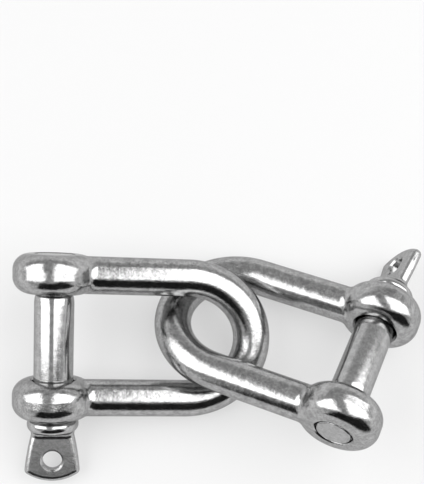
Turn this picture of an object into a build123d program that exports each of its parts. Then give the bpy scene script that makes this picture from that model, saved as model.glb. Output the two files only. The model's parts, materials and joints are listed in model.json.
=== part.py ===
"""Two screw-pin D shackles linked bow through bow, as they lie on a flat surface.

Each shackle is drawn in its own frame: the origin is the middle of the pin's axis, X runs to the
crown of the bow, Y runs along the pin to the tapped ear, and Z is square to the bow's plane.
The finished set has +Z up, and its origin is on the surface, below the middle of the set.
"""

import os

from build123d import *

os.makedirs("parts", exist_ok=True)

# ---- Driving dimensions, mm ----

# Bow: a round rod bent to a U, with an ear at each end
rod_diameter = 10.0
inside_width = 23.0
inside_length = 48.0          # from the pin's axis to the inside of the crown
crown_depth = 17.75           # the crown is half an ellipse, this deep along X

# Ears
ear_diameter = 21.4
ear_thickness = 10.4
ear_offset = 0.15             # how far the ear's middle stands outside the rod's centreline
ear_edge_radius = 4.25
ear_blend_radius = 3.0        # where the rod runs into the ear
rod_end_x = 7.0               # the rod ends inside the ear, outside its bore
clear_bore_diameter = 11.2    # the pin passes freely through the plain ear
clear_bore_chamfer = 0.55
thread_diameter = 10.0        # the tapped ear, taken at the thread's outside diameter
thread_mouth_chamfer = 0.3

# Screw pin
shank_diameter = 10.4
thread_clearance = 0.06       # radial
thread_start = 0.6            # the thread begins this far inside the tapped ear
pin_end_recess = 0.1
pin_end_chamfer = 0.45
shoulder_length = 2.6         # the shank's rounded end, just short of the tapped ear
shoulder_drop = 0.75          # how much smaller its radius is there
collar_diameter = 13.6
collar_thickness = 3.6
collar_gap = 0.15             # between the collar and the plain ear
collar_edge_radius = 1.9
collar_seat_radius = 1.4

# Eye tab on the pin's head
tab_thickness = 3.3
tab_neck_width = 10.4
tab_middle_width = 13.3
tab_end_width = 14.7
tab_side_length = 11.4        # from the collar to the tab's corners
tab_length = 13.9             # from the collar to the top of the end arc
tab_corner_radius = 1.3
tab_edge_radius = 1.5
tab_blend_radius = 2.0
profile_turn = 45.0           # keeps the seam of the round faces off the tab's flats and edges
eye_diameter = 5.24
eye_from_collar = 8.0
eye_chamfer = 0.5

# How the two shackles lie: the place of the pin's middle, then yaw, pitch and roll in degrees
anchor_side_lies = ((-44.21, 5.83, 16.63), (0.0, 8.4, 20.6))
chain_side_lies = ((36.29, -2.67, 18.74), (158.0, 11.9, 19.3))

# How far each pin's tab is turned out of its bow's plane, degrees
anchor_side_tab_turn = 0.0
chain_side_tab_turn = 56.0

# ---- Worked out from them ----

rod_radius = rod_diameter / 2
leg_y = (inside_width + rod_diameter) / 2
leg_length = inside_length + rod_radius - crown_depth
ear_y = leg_y + ear_offset
ear_inner_y = ear_y - ear_thickness / 2
ear_outer_y = ear_y + ear_thickness / 2
collar_y = -(ear_outer_y + collar_gap)
head_y = collar_y - collar_thickness


def frame_of(lies):
    """The frame of a shackle that lies turned by yaw, then pitch, then roll."""
    place, (yaw, pitch, roll) = lies
    about_z = Location((0, 0, 0), (0, 0, yaw))
    about_y = Location((0, 0, 0), (0, pitch, 0))
    about_x = Location((0, 0, 0), (roll, 0, 0))
    return Location(place) * about_z * about_y * about_x


def plane_in(frame, plane):
    """A plane that is given in a shackle's own frame."""
    return Plane(frame * plane.location)


def round_edges(part, diameter):
    """The part's circular edges of one diameter."""
    circles = part.edges().filter_by(GeomType.CIRCLE)
    return circles.filter_by(lambda edge: abs(edge.radius - diameter / 2) < 0.01)


def make_bow(frame, label):
    """The bent rod with its two ears, one bored clear and one tapped."""
    own = Plane(frame)
    pin_axis = Axis(own.origin, own.y_dir)
    with BuildPart() as bow:
        # Ears: rounded discs about the pin's axis
        with BuildSketch(own):
            with Locations((ear_diameter / 4, -ear_y), (ear_diameter / 4, ear_y)):
                Rectangle(ear_diameter / 2, ear_thickness)
        revolve(axis=pin_axis)
        fillet(round_edges(bow, ear_diameter), ear_edge_radius)

        # Rod: a leg, the crown and the other leg, blended into the ears
        with BuildLine(own) as centreline:
            Line((rod_end_x, -leg_y), (leg_length, -leg_y))
            EllipticalCenterArc((leg_length, 0), crown_depth, leg_y, -90, arc_size=180)
            Line((leg_length, leg_y), (rod_end_x, leg_y))
        with BuildSketch(plane_in(frame, Plane.YZ.offset(rod_end_x))):
            with Locations((-leg_y, 0)):
                Circle(rod_radius)
        sweep(path=centreline.wires()[0])
        fillet(bow.edges(Select.NEW), ear_blend_radius)

        # Bores along the pin's axis
        with BuildSketch(own):
            with Locations((clear_bore_diameter / 4, -ear_y)):
                Rectangle(clear_bore_diameter / 2, ear_thickness)
            with Locations((thread_diameter / 4, ear_y)):
                Rectangle(thread_diameter / 2, ear_thickness)
        revolve(axis=pin_axis, mode=Mode.SUBTRACT)
        chamfer(round_edges(bow, clear_bore_diameter), clear_bore_chamfer)
        chamfer(round_edges(bow, thread_diameter), thread_mouth_chamfer)
    bow.part.label = label
    return bow.part


def make_tab(tab_plane):
    """The flat tab of a pin's head, with rounded edges, before its eye is bored."""
    with BuildPart() as tab:
        with BuildSketch(tab_plane) as outline:
            with BuildLine():
                sides = []
                for side in (-1, 1):
                    neck = (side * tab_neck_width / 2, collar_edge_radius / 2)
                    middle = (side * tab_middle_width / 2, -tab_side_length / 2)
                    corner = (side * tab_end_width / 2, -tab_side_length)
                    sides.append(ThreePointArc(neck, middle, corner))
                ThreePointArc(sides[0] @ 1, (0, -tab_length), sides[1] @ 1)
                Line(sides[0] @ 0, sides[1] @ 0)
            make_face()
            fillet(outline.vertices().sort_by(Axis.Y)[:2], tab_corner_radius)
        extrude(amount=tab_thickness / 2, both=True)
        flats = tab.faces().sort_by(SortBy.AREA)[-2:]
        buried_end = tab.faces().sort_by(Axis(tab_plane.origin, tab_plane.y_dir))[-1]
        fillet(flats.edges() - buried_end.edges(), tab_edge_radius)
    return tab.part


def make_pin(frame, tab_turn, label):
    """The screw pin: threaded end, shank, collar, and a flat tab with an eye to turn it by."""
    own = Plane(frame)
    pin_axis = Axis(own.origin, own.y_dir)
    tab_plane = plane_in(frame, Plane(Location((0, head_y, 0), (0, tab_turn, 0))))
    profile_plane = plane_in(frame, Plane(Location((0, 0, 0), (0, tab_turn + profile_turn, 0))))
    tab = make_tab(tab_plane)

    thread_radius = thread_diameter / 2 - thread_clearance
    shank_radius = shank_diameter / 2
    collar_radius = collar_diameter / 2
    end_y = ear_outer_y - pin_end_recess
    shoulder_y = ear_inner_y - shoulder_length
    with BuildPart() as pin:
        # Everything that is round about the pin's axis
        with BuildSketch(profile_plane):
            with BuildLine():
                threaded_end = Polyline(
                    (0, end_y),
                    (thread_radius - pin_end_chamfer, end_y),
                    (thread_radius, end_y - pin_end_chamfer),
                    (thread_radius, ear_inner_y + thread_start),
                    (shank_radius - shoulder_drop, ear_inner_y),
                )
                EllipticalCenterArc(
                    (shank_radius - shoulder_drop, shoulder_y), shoulder_drop, shoulder_length, 0, arc_size=90
                )
                Polyline(
                    (shank_radius, shoulder_y),
                    (shank_radius, collar_y),
                    (collar_radius, collar_y),
                    (collar_radius, head_y),
                    (0, head_y),
                    threaded_end @ 0,
                )
            make_face()
        revolve(axis=pin_axis)
        collar_rims = round_edges(pin, collar_diameter).sort_by(pin_axis)
        fillet(collar_rims[-1], collar_seat_radius)
        fillet(round_edges(pin, collar_diameter).sort_by(pin_axis)[0], collar_edge_radius)

        # Eye tab
        add(tab)
        fillet(pin.edges(Select.NEW), tab_blend_radius)
        with BuildSketch(tab_plane):
            with Locations((0, -eye_from_collar)):
                Circle(eye_diameter / 2)
        extrude(amount=tab_thickness, both=True, mode=Mode.SUBTRACT)
        chamfer(round_edges(pin, eye_diameter), eye_chamfer)
    pin.part.label = label
    return pin.part


anchor_side = frame_of(anchor_side_lies)
chain_side = frame_of(chain_side_lies)
pieces = [
    make_bow(anchor_side, "anchor_side_bow"),
    make_pin(anchor_side, anchor_side_tab_turn, "anchor_side_pin"),
    make_bow(chain_side, "chain_side_bow"),
    make_pin(chain_side, chain_side_tab_turn, "chain_side_pin"),
]
for piece in pieces:
    export_step(piece, f"parts/{piece.label}.step")
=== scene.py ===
import json
import math

import bmesh
import bpy
import numpy as np
from mathutils import Matrix, Vector


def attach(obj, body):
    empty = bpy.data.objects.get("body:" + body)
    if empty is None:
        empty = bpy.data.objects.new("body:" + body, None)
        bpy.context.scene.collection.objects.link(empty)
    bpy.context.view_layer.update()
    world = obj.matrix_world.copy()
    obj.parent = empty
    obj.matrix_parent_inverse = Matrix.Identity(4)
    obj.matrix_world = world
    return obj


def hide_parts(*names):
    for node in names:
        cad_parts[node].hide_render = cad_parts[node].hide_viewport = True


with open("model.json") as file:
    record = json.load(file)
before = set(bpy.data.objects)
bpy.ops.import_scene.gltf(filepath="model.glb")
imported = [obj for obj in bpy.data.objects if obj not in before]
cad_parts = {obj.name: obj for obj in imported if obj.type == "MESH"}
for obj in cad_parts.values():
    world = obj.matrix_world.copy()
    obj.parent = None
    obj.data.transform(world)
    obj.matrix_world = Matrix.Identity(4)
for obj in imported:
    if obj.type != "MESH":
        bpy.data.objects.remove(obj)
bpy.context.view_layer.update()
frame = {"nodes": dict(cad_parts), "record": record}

MM = 0.001

record = frame["record"]
scene = bpy.context.scene


# ---------------------------------------------------------------- frames of the two shackles

def mount_named(name):
    return next(m for m in record["mounts"] if m["name"] == name)


def joint_named(name):
    return next(j for j in record["behaviour"]["joints"] if j["name"] == name)


def shackle_frame(side):
    """Origin at the middle of the pin, X to the crown, Y along the pin to the tapped ear."""
    seat = mount_named(side + "_pin_seat")
    x = -Vector(seat["axis"]).normalized()
    y = -Vector(joint_named(side + "_screw")["axis"]).normalized()
    z = x.cross(y).normalized()
    y = z.cross(x)
    turn = Matrix((x, y, z)).transposed()
    return Matrix.Translation(Vector(seat["pos_m"])) @ turn.to_4x4()


# ---------------------------------------------------------------- node helpers

def grey(value):
    return (value, value, value, 1)


class Nodes:
    """Small shorthand for building a node tree."""

    def __init__(self, tree):
        self.tree = tree
        self.tree.nodes.clear()

    def add(self, kind, **values):
        node = self.tree.nodes.new(kind)
        for key, value in values.items():
            setattr(node, key, value)
        return node

    def link(self, a, b):
        self.tree.links.new(a, b)

    def feed(self, socket, value):
        if isinstance(value, bpy.types.NodeSocket):
            self.link(value, socket)
        elif value is not None:
            socket.default_value = value

    def math(self, operation, a, b=None):
        node = self.add("ShaderNodeMath", operation=operation)
        for socket, value in zip(node.inputs, (a, b)):
            self.feed(socket, value)
        return node.outputs[0]

    def total(self, base, *parts):
        """A base value plus other values, each with its weight."""
        for value, weight in parts:
            base = self.math("ADD", base, self.math("MULTIPLY", value, weight))
        return base

    def distance(self, a, b):
        """The length of the hypotenuse over a and b."""
        squares = self.math("ADD", self.math("MULTIPLY", a, a), self.math("MULTIPLY", b, b))
        return self.math("SQRT", squares)

    def smooth(self, value, low, high, out_low=0.0, out_high=1.0):
        node = self.add("ShaderNodeMapRange", interpolation_type="SMOOTHSTEP")
        for socket, v in zip(node.inputs, (value, low, high, out_low, out_high)):
            self.feed(socket, v)
        return node.outputs[0]

    def coordinates(self, kind):
        return self.add("ShaderNodeTexCoord").outputs[kind]

    def split(self, vector):
        node = self.add("ShaderNodeSeparateXYZ")
        self.link(vector, node.inputs[0])
        return node.outputs

    def join(self, x, y, z):
        node = self.add("ShaderNodeCombineXYZ")
        for socket, value in zip(node.inputs, (x, y, z)):
            self.feed(socket, value)
        return node.outputs[0]

    def noise(self, vector, scale, detail, roughness):
        node = self.add("ShaderNodeTexNoise")
        self.link(vector, node.inputs["Vector"])
        node.inputs["Scale"].default_value = scale
        node.inputs["Detail"].default_value = detail
        node.inputs["Roughness"].default_value = roughness
        return node.outputs["Fac"]

    def voronoi(self, vector, scale):
        node = self.add("ShaderNodeTexVoronoi")
        self.link(vector, node.inputs["Vector"])
        node.inputs["Scale"].default_value = scale
        return node.outputs["Distance"]

    def bump(self, height, millimetres, normal=None):
        node = self.add("ShaderNodeBump")
        node.inputs["Strength"].default_value = 1.0
        node.inputs["Distance"].default_value = millimetres * MM
        self.link(height, node.inputs["Height"])
        if normal is not None:
            self.link(normal, node.inputs["Normal"])
        return node.outputs[0]

    def mix_colour(self, factor, a, b):
        node = self.add("ShaderNodeMix", data_type="RGBA")
        sockets = [s for s in node.inputs if s.type == "RGBA"]
        self.feed(node.inputs[0], factor)
        self.feed(sockets[0], a)
        self.feed(sockets[1], b)
        return next(s for s in node.outputs if s.type == "RGBA")


def new_material(name):
    """A material with one Principled surface: the material, its node tree and the surface."""
    mat = bpy.data.materials.new(name)
    mat.use_nodes = True
    n = Nodes(mat.node_tree)
    out = n.add("ShaderNodeOutputMaterial")
    surface = n.add("ShaderNodeBsdfPrincipled")
    n.link(surface.outputs[0], out.inputs[0])
    return mat, n, surface


def local_millimetres(n, shackle):
    """Texture coordinates in the shackle's own frame, in millimetres."""
    mapping = n.add("ShaderNodeMapping", vector_type="POINT")
    back = shackle.inverted()
    mapping.inputs["Scale"].default_value = (1 / MM, 1 / MM, 1 / MM)
    mapping.inputs["Rotation"].default_value = back.to_3x3().to_euler("XYZ")
    mapping.inputs["Location"].default_value = back.translation / MM
    n.link(n.coordinates("Object"), mapping.inputs["Vector"])
    return mapping.outputs[0]


# ---------------------------------------------------------------- steel, in the shackle's millimetres

crown_start_x = 35.25       # where the legs end and the crown begins
crown_radius = 16.5         # half the crown's width at the rod's middle line; it is a little deeper
tab_start_y = -25.2         # turned up to here, just short of the collar's outer side at -25.6
tab_blend = 1.0             # and cast from this far beyond


def along_rod(n, point):
    """Coordinates that follow the rod of a bow: across its width, across its height, along it."""
    x, y, z = n.split(point)
    past = n.math("MAXIMUM", n.math("SUBTRACT", x, crown_start_x), 0.0)
    turn = n.math("ARCTAN2", past, n.math("ABSOLUTE", y))
    along = n.total(n.math("MINIMUM", x, crown_start_x), (turn, crown_radius))
    return n.distance(past, y), z, along


def make_metal(steel):
    """What both steels share. The tint keeps the edges of the metal from going white."""
    steel.inputs["Metallic"].default_value = 1.0
    steel.inputs["Specular Tint"].default_value = grey(0.62)


def cast_steel(name, shackle):
    """Cast and polished: fine grain, small pits and faint polishing lines along the rod."""
    mat, n, steel = new_material(name)
    make_metal(steel)
    point = local_millimetres(n, shackle)
    across, high, along = along_rod(n, point)

    mottle = n.noise(point, 0.55, 4.0, 0.6)
    grain = n.noise(point, 1.7, 3.0, 0.6)
    fine = n.noise(point, 7.0, 2.0, 0.6)
    stretched = n.join(n.math("MULTIPLY", across, 3.2),
                       n.math("MULTIPLY", high, 3.2),
                       n.math("MULTIPLY", along, 0.12))
    streaks = n.noise(stretched, 1.0, 2.0, 0.5)
    pits = n.smooth(n.voronoi(point, 0.9), 0.05, 0.13)

    tone = n.total(0.0, (mottle, 0.35), (grain, 0.3), (fine, 0.35))
    colour = n.mix_colour(n.smooth(tone, 0.38, 0.62), grey(0.27), grey(0.50))
    n.link(colour, steel.inputs["Base Color"])
    n.link(n.total(0.05, (mottle, 0.12), (grain, 0.08)), steel.inputs["Roughness"])

    waves = n.bump(n.noise(point, 0.28, 2.0, 0.5), 0.04)
    polish = n.bump(streaks, 0.004, normal=waves)
    skin = n.bump(grain, 0.022, normal=polish)
    dust = n.bump(fine, 0.010, normal=skin)
    n.link(n.bump(pits, 0.012, normal=dust), steel.inputs["Normal"])
    return mat


def turned_steel(name, shackle):
    """Turned on a lathe, with faint rings, and cast again on the tab."""
    mat, n, steel = new_material(name)
    make_metal(steel)
    point = local_millimetres(n, shackle)
    x, y, z = n.split(point)
    radius = n.distance(x, z)
    on_tab = n.smooth(y, tab_start_y, tab_start_y - tab_blend)

    mottle = n.noise(point, 0.6, 4.0, 0.6)
    grain = n.noise(point, 2.8, 3.0, 0.6)
    step = n.total(0.0, (y, 4.5), (radius, 4.5))
    swirl = n.math("MULTIPLY", n.math("ARCTAN2", z, x), 0.25)
    rings = n.noise(n.join(step, swirl, 0.0), 1.0, 3.0, 0.6)

    tone = n.total(0.0, (mottle, 0.5), (grain, 0.5))
    colour = n.mix_colour(n.smooth(tone, 0.35, 0.65), grey(0.35), grey(0.50))
    n.link(colour, steel.inputs["Base Color"])
    rough = n.total(0.07, (mottle, 0.08), (rings, 0.06), (on_tab, 0.08))
    n.link(rough, steel.inputs["Roughness"])

    turned = n.math("MULTIPLY", rings, n.math("SUBTRACT", 1.0, on_tab))
    cast = n.math("MULTIPLY", grain, n.total(0.4, (on_tab, 0.8)))
    waves = n.bump(n.noise(point, 0.3, 2.0, 0.5), 0.012)
    lathe = n.bump(turned, 0.004, normal=waves)
    n.link(n.bump(cast, 0.01, normal=lathe), steel.inputs["Normal"])
    return mat


# ---------------------------------------------------------------- screw threads, in millimetres

pitch = 1.5
groove_depth = 0.92
crest_share = 0.125         # of the pitch, where the thread is uncut
flank_share = 0.625
run_out_start = 0.2
run_out_length = 1.3
crest_radius = 4.94
bore_radius = 5.0
ear_inner_y = 11.45
ear_outer_y = 21.85
thread_start_y = 12.05
pin_end_y = 21.75
lead_radius = 4.5           # the pin's slim end
lead_length = 1.1
pin_end_bevel = 0.15
mouth_radius = 5.4          # 0.1 wider than the CAD's mouth, which leaves a thin lip there
counterbore_depth = 1.1
touching = 0.01
around = 144
rows = 170


def groove(angle, y):
    """How deep the thread is cut: 0 on the crest and 1 at the root. It runs out near the shank."""
    away = np.abs((y / pitch - angle / (2 * np.pi)) % 1.0 - 0.5) * 2
    run_out = np.clip((y - thread_start_y - run_out_start) / run_out_length, 0, 1)
    return np.clip((1 - crest_share - away) / flank_share, 0, 1) * run_out


def pin_radius(angle, y):
    cut = crest_radius - groove_depth * groove(angle, y)
    lead = lead_radius + np.maximum(pin_end_y - lead_length - y, 0)
    bevel = lead_radius - pin_end_bevel + (pin_end_y - y)
    return np.minimum(np.minimum(cut, lead), bevel)


def tapped_radius(angle, y):
    cut = bore_radius - groove_depth * groove(angle, y)
    depth = np.minimum(ear_outer_y - y, y - ear_inner_y)
    counterbore = bore_radius - np.maximum(depth - counterbore_depth, 0)
    return np.maximum(np.maximum(cut, counterbore), mouth_radius - depth)


def ring_points(radius, y, angle):
    """Points round the pin's axis, in the shackle's frame."""
    return np.stack((radius * np.cos(angle), y + 0 * radius, radius * np.sin(angle)), axis=-1)


def turned_grid(radius_at, low, high, outward):
    """Points, quads and normals of a threaded surface, in the shackle's frame."""
    y = np.linspace(low, high, rows)[:, None]
    angle = np.linspace(0, 2 * np.pi, around + 1)[None, :]
    radius = radius_at(angle, y)
    points = ring_points(radius, y, angle)
    up = np.gradient(points, axis=0)
    turn = np.gradient(points, axis=1)
    seam = (points[:, 1] - points[:, -2]) / 2
    turn[:, 0] = seam
    turn[:, -1] = seam
    normals = np.cross(up, turn)
    from_axis = points * (1, 0, 1)
    if (np.sum(normals * from_axis) > 0) != outward:
        normals = -normals
    normals /= np.linalg.norm(normals, axis=-1, keepdims=True)
    index = np.arange(rows * (around + 1)).reshape(rows, around + 1)
    index[:, -1] = index[:, 0]
    a, b, c, d = index[:-1, :-1], index[:-1, 1:], index[1:, 1:], index[1:, :-1]
    quads = np.stack((a, d, c, b) if outward else (a, b, c, d), axis=-1).reshape(-1, 4)
    return points.reshape(-1, 3), quads, normals.reshape(-1, 3)


def end_disc(radius, y):
    """A flat disc that closes the pin's end."""
    angle = np.linspace(0, 2 * np.pi, around, endpoint=False)
    ring = ring_points(np.full(around, radius), y, angle)
    points = np.vstack((ring, [[0, y, 0]]))
    index = np.arange(around)
    triangles = np.stack((np.roll(index, -1), index, np.full(around, around)), axis=-1)
    return points, triangles, np.tile([0.0, 1.0, 0.0], (around + 1, 1))


def mesh_arrays(mesh):
    """A triangle mesh's points, its triangles and the normals at their corners."""
    points = np.empty(len(mesh.vertices) * 3)
    mesh.vertices.foreach_get("co", points)
    corners = np.empty(len(mesh.loops), dtype=np.int32)
    mesh.loops.foreach_get("vertex_index", corners)
    normals = np.empty(len(mesh.loops) * 3)
    mesh.corner_normals.foreach_get("vector", normals)
    return points.reshape(-1, 3), corners.reshape(-1, 3), normals.reshape(-1, 3, 3)


def rebuilt(name, node, shackle, dropped, additions):
    """A CAD node's surface without the faces that dropped() picks, and with finer ones in their place."""
    points, triangles, normals = mesh_arrays(frame["nodes"][node].data)
    back = np.array(shackle.inverted())
    forth = np.array(shackle)
    local = (points @ back[:3, :3].T + back[:3, 3]) / MM
    keep = ~dropped(local[triangles])
    faces = triangles[keep].tolist()
    face_normals = normals[keep].reshape(-1, 3).tolist()
    for extra_points, extra_faces, extra_normals in additions:
        turned = extra_normals @ forth[:3, :3].T
        faces += (extra_faces + len(points)).tolist()
        face_normals += turned[extra_faces.reshape(-1)].tolist()
        moved = (extra_points * MM) @ forth[:3, :3].T + forth[:3, 3]
        points = np.vstack((points, moved))
    used, inverse = np.unique(np.concatenate([np.array(f) for f in faces]), return_inverse=True)
    new_index = iter(inverse.tolist())
    faces = [[next(new_index) for _ in f] for f in faces]
    mesh = bpy.data.meshes.new(name)
    mesh.from_pydata(points[used].tolist(), [], faces)
    mesh.shade_smooth()
    mesh.normals_split_custom_set(face_normals)
    mesh.update()
    piece = bpy.data.objects.new(name, mesh)
    scene.collection.objects.link(piece)
    return piece


def on_pin_thread(corners):
    return np.all(corners[..., 1] > thread_start_y - touching, axis=1)


def in_tapped_bore(corners):
    radius = np.hypot(corners[..., 0], corners[..., 2])
    inside = (radius < mouth_radius + touching) & (corners[..., 1] > ear_inner_y - touching)
    return np.all(inside, axis=1)


def threaded_pin(side, shackle):
    thread = turned_grid(pin_radius, thread_start_y, pin_end_y, True)
    disc = end_disc(lead_radius - pin_end_bevel, pin_end_y)
    pin = rebuilt(side + "_screw_pin", side + "_pin", shackle, on_pin_thread, [thread, disc])
    pin.data.materials.append(turned_steel(side + "_turned_stainless", shackle))
    return pin


def tapped_bow(side, shackle):
    thread = turned_grid(tapped_radius, ear_inner_y, ear_outer_y, False)
    bow = rebuilt(side + "_tapped_bow", side + "_bow", shackle, in_tapped_bore, [thread])
    bow.data.materials.append(cast_steel(side + "_cast_stainless", shackle))
    return bow


for side in ("anchor_side", "chain_side"):
    shackle = shackle_frame(side)
    pin = threaded_pin(side, shackle)
    bow = tapped_bow(side, shackle)
    parts = ((bow, side + "_bow", "cast_stainless"), (pin, side + "_pin", "turned_stainless"))
    for piece, node, slot in parts:
        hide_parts(node)
        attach(piece, node)


# ---------------------------------------------------------------- floor and black card

floor_half_size = 30.0
floor_near, floor_far = 0.35, 1.5
# strength of the floor's painted glow, which lightens its cast shadows, near the object and far off
glow_near, glow_far = 0.50, 0.76


def staged(name, build, material):
    """An object of the studio, from a finished bmesh."""
    mesh = bpy.data.meshes.new(name)
    build.to_mesh(mesh)
    build.free()
    mesh.materials.append(material)
    thing = bpy.data.objects.new(name, mesh)
    scene.collection.objects.link(thing)
    return thing


def floor_with_painted_glow():
    """Pale floor with a painted glow: its emission lightens the shadows cast on it, and rises with
    distance so that floor and room meet softly.
    """
    mat, n, paper = new_material("pale_floor")
    paper.inputs["Base Color"].default_value = grey(0.27)
    paper.inputs["Roughness"].default_value = 0.9
    paper.inputs["Specular IOR Level"].default_value = 0.1
    paper.inputs["Emission Color"].default_value = grey(1)
    place = n.split(n.coordinates("Object"))
    glow = n.smooth(n.distance(place[0], place[1]), floor_near, floor_far, glow_near, glow_far)
    n.link(glow, paper.inputs["Emission Strength"])
    return mat


def make_floor():
    build = bmesh.new()
    bmesh.ops.create_grid(build, x_segments=8, y_segments=8, size=floor_half_size)
    floor = staged("floor", build, floor_with_painted_glow())


def black_card():
    mat, n, card = new_material("black_card")
    card.inputs["Base Color"].default_value = grey(0.012)
    card.inputs["Roughness"].default_value = 0.95
    card.inputs["Specular IOR Level"].default_value = 0.0
    return mat


def make_flag():
    """A curved black card on the viewer's side, seen only as dark bands reflected in the metal."""
    radius, low, high = 0.62, 0.0, 0.69
    first, last, steps = -40, 50, 24
    build = bmesh.new()
    posts = []
    for i in range(steps + 1):
        angle = math.radians(first + (last - first) * i / steps)
        x, y = radius * math.sin(angle), -radius * math.cos(angle)
        posts.append([build.verts.new((x, y, z)) for z in (low, high)])
    for (a, b), (c, d) in zip(posts, posts[1:]):
        build.faces.new((a, c, d, b))
    flag = staged("flag", build, black_card())
    flag.visible_camera = False
    flag.visible_diffuse = False
    flag.visible_shadow = False


make_floor()
make_flag()


# ---------------------------------------------------------------- light

light_height = 0.6
far_edge = 3.0
front_edge, back_edge = -0.70, 0.80
radiance = 3.0


def soft_box(name, left, right, turn):
    """A level soft box over the object. Its edges are given as slopes from the middle of the object."""
    light = bpy.data.lights.new(name, "AREA")
    light.shape = "RECTANGLE"
    light.size = (right - left) * light_height
    light.size_y = (back_edge - front_edge) * light_height
    light.energy = radiance * math.pi * light.size * light.size_y
    lamp = bpy.data.objects.new(name, light)
    middle = ((left + right) / 2 * light_height, (front_edge + back_edge) / 2 * light_height)
    lamp.location = (*middle, light_height)
    lamp.rotation_euler = (0, 0, math.radians(turn))
    scene.collection.objects.link(lamp)


def make_world():
    """A grey room, paler towards the floor."""
    world = bpy.data.worlds.new("studio")
    scene.world = world
    world.use_nodes = True
    n = Nodes(world.node_tree)
    out = n.add("ShaderNodeOutputWorld")
    room = n.add("ShaderNodeBackground")
    n.link(room.outputs[0], out.inputs[0])
    height = n.split(n.coordinates("Generated"))[2]
    tone = n.smooth(height, 0.10, 0.42, 0.98, 0.50)
    n.link(n.join(tone, tone, tone), room.inputs[0])
    room.inputs[1].default_value = 1.0


soft_box("left_soft_box", -far_edge, -0.42, 5.0)
soft_box("right_soft_box", 0.14, far_edge, -4.0)
make_world()
scene.view_settings.view_transform = "Standard"


# ---------------------------------------------------------------- camera

sensor_width = 36
lens = 59.21405
shift_x = -0.02892562       # both shifts are shares of the frame's longer side
shift_y = 0.16115703
viewing_elevation = 77.564
viewing_azimuth = -3.0
viewing_roll = 2.313
viewing_distance = 0.20878
aim = Vector((1.281 * MM, 9.147 * MM, 19.499 * MM))


def make_camera():
    azimuth = math.radians(viewing_azimuth)
    elevation = math.radians(viewing_elevation)
    roll = math.radians(viewing_roll)
    back = Vector((math.sin(azimuth) * math.cos(elevation),
                   -math.cos(azimuth) * math.cos(elevation),
                   math.sin(elevation)))
    level = Vector((0, 0, 1)).cross(back).normalized()
    upright = back.cross(level)
    right = math.cos(roll) * level + math.sin(roll) * upright
    up = math.cos(roll) * upright - math.sin(roll) * level
    data = bpy.data.cameras.new("camera")
    data.sensor_width = sensor_width
    data.lens = lens
    data.shift_x = shift_x
    data.shift_y = shift_y
    data.clip_start = 0.005
    data.clip_end = 50
    camera = bpy.data.objects.new("camera", data)
    scene.collection.objects.link(camera)
    turn = Matrix((right, up, back)).transposed().to_4x4()
    camera.matrix_world = Matrix.Translation(aim + back * viewing_distance) @ turn
    scene.camera = camera


make_camera()
